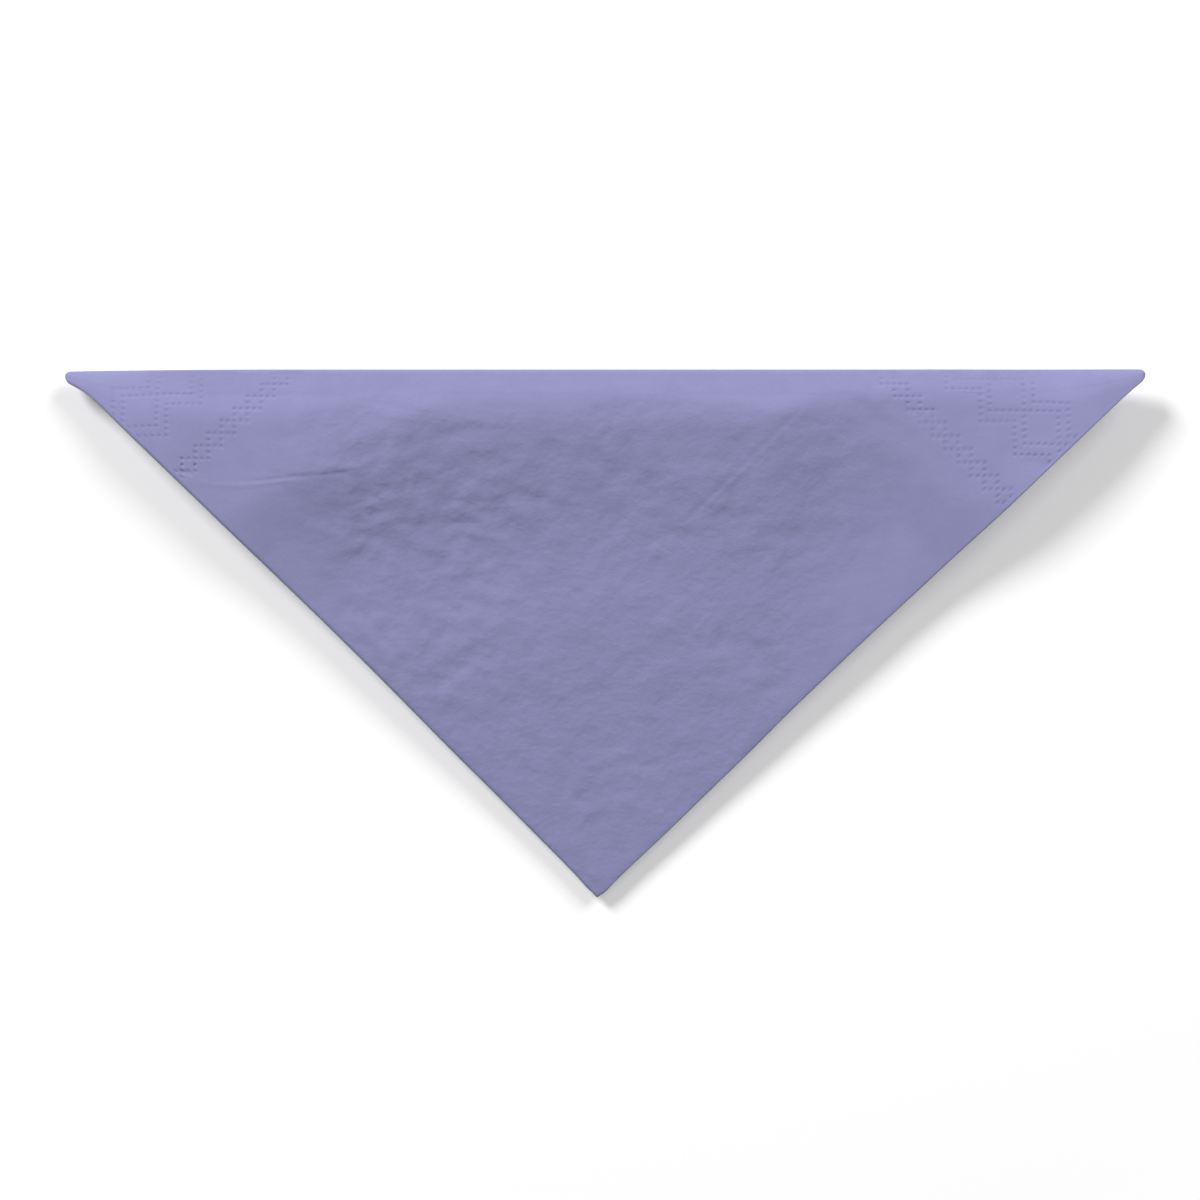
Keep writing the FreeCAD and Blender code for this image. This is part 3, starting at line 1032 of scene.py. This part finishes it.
graph = bpy.context.evaluated_depsgraph_get()
pressed_mesh = bpy.data.meshes.new_from_object(napkin_sheet.evaluated_get(graph))
napkin_sheet.modifiers.clear()
old_mesh = napkin_sheet.data
napkin_sheet.data = pressed_mesh
bpy.data.meshes.remove(old_mesh)
for motif in motif_objects:
    bpy.data.objects.remove(motif)
pressed_mesh.name = "napkin_sheet"
emboss = np.zeros(len(pressed_mesh.vertices), dtype=np.float32)
pressed_mesh.attributes["emboss"].data.foreach_get("value", emboss)
print("points pressed in:", int((emboss > 0.3).sum()), "materials:", [m.name for m in pressed_mesh.materials])
pressed_mesh.calc_loop_triangles()
print("triangles:", len(pressed_mesh.loop_triangles))

# %% [markdown]
# ## The sheet's part in the frame
#
# The paper belongs to the model's one body, replaces its plain solid and has one material slot.

# %% Tell the frame what the sheet is
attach(napkin_sheet, "root")
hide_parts("napkin")
print("side of the flat sheet in mm:", SHEET)

# %% [markdown]
# ## The white table
#
# The picture shows a white ground with a soft shadow beside each slanted edge. Stronger lamps
# would whiten the ground but wash the shadows out. So the floor adds a little white of its own to
# what the camera sees, and more of it away from the napkin.

# %% The white floor
FLOOR_GLOW = 0.20
GLOW_STARTS, GLOW_ENDS = 0.15, 0.6
FLOOR_WHITE = (0.86, 0.86, 0.86, 1.0)
FLOOR_HALF, FLOOR_DOWN = 3.0, 0.00005


def seen_rays(tree):
    """1 for what the camera sees, directly or in a gloss, and 0 for all other light."""
    rays = add(tree, "ShaderNodeLightPath", out="Is Camera Ray")
    return rays.math("MAXIMUM", rays, rays.output("Is Glossy Ray"))


def floor_material():
    """Matt white that glows a little, and more with the distance from the napkin."""
    material, tree = new_material("white floor")
    place = add(tree, "ShaderNodeTexCoord", out="Object")
    distance = add(tree, "ShaderNodeVectorMath", {"operation": "LENGTH"}, {0: place}, out="Value")
    glow = add(tree, "ShaderNodeMapRange", {"interpolation_type": "SMOOTHSTEP"}, {
        "Value": distance, "From Min": GLOW_STARTS, "From Max": GLOW_ENDS,
        "To Min": FLOOR_GLOW, "To Max": 1.0,
    })
    surface = add(tree, "ShaderNodeBsdfPrincipled", None, {
        "Base Color": FLOOR_WHITE, "Roughness": 1.0, "Specular IOR Level": 0.0,
        "Emission Color": seen_rays(tree) * glow, "Emission Strength": 1.0,
    })
    add(tree, "ShaderNodeOutputMaterial", None, {"Surface": surface})
    return material


floor_mesh = bpy.data.meshes.new("floor")
corners = [(x * FLOOR_HALF, y * FLOOR_HALF, -FLOOR_DOWN) for x, y in ((-1, -1), (1, -1), (1, 1), (-1, 1))]
floor_mesh.from_pydata(corners, [], [(0, 1, 2, 3)])
floor_mesh.materials.append(floor_material())
floor = placed("floor", floor_mesh)
print("the floor is", 2 * FLOOR_HALF, "m wide")

# %% [markdown]
# ## The two lamps and the room
#
# A shadow's place says where a lamp stands, and its soft border how wide the lamp is. Two disks
# beyond the fold are enough, the right one weaker, and both low enough to bring out the creases.
# The room looks white to the camera, but as a light it is dim and even.

# %% The lamps and the room
LAMP_DISTANCE = 3.0
ROOM_LIGHT = 0.16
# Each lamp: its degrees to the right of straight beyond the fold and above the table, its width
# in metres, and the light it adds to a white sheet that lies flat
LAMPS = (("left lamp", -44, 37, 1.0, 0.53), ("right lamp", 44, 38, 1.5, 0.32))


def soft_lamp(name, azimuth, elevation, size, light):
    """A large soft lamp that faces the napkin."""
    data = bpy.data.lights.new(name, "AREA")
    data.shape = "DISK"
    data.size = size
    data.energy = light * (math.pi * LAMP_DISTANCE) ** 2 / math.sin(elevation)
    lamp = placed(name, data)
    flat = math.cos(elevation)
    towards = Vector((math.sin(azimuth) * flat, math.cos(azimuth) * flat, math.sin(elevation)))
    lamp.location = towards * LAMP_DISTANCE
    lamp.rotation_mode = "QUATERNION"
    lamp.rotation_quaternion = towards.to_track_quat("Z", "Y")
    print(name, "power in W:", round(data.energy, 1))


for name, azimuth, elevation, size, light in LAMPS:
    soft_lamp(name, math.radians(azimuth), math.radians(elevation), size, light)


def soft_room():
    """A room that looks white but lights dimly."""
    world = bpy.data.worlds.new("soft room")
    world.use_nodes = True
    tree = world.node_tree
    tree.nodes.clear()
    strength = seen_rays(tree) * (1 - ROOM_LIGHT) + ROOM_LIGHT
    room = add(tree, "ShaderNodeBackground", None, {"Color": (1, 1, 1, 1), "Strength": strength})
    add(tree, "ShaderNodeOutputWorld", None, {"Surface": room})
    return world


bpy.context.scene.world = soft_room()

# %% [markdown]
# ## The camera
#
# The picture was taken from straight above with little perspective, so the lens is long. The
# camera's height follows from how wide the picture is near the top of the fold.

# %% The camera, straight above
LENS, SENSOR = 90.0, 36.0
FRAME_WIDTH = 259.2
FRAME_HEIGHT = 6.0
CAMERA_X, CAMERA_Y = -0.86, 6.8
camera_data = bpy.data.cameras.new("camera")
camera_data.lens, camera_data.sensor_width = LENS, SENSOR
camera_data.clip_start, camera_data.clip_end = 0.01, 20
camera = placed("camera", camera_data)
camera_z = FRAME_WIDTH * LENS / SENSOR + FRAME_HEIGHT
camera.location = (CAMERA_X * MM, CAMERA_Y * MM, camera_z * MM)
bpy.context.scene.camera = camera
bpy.context.scene.view_settings.view_transform = "Standard"
print("the camera is", round(camera_z), "mm above the table")

# %% [markdown]
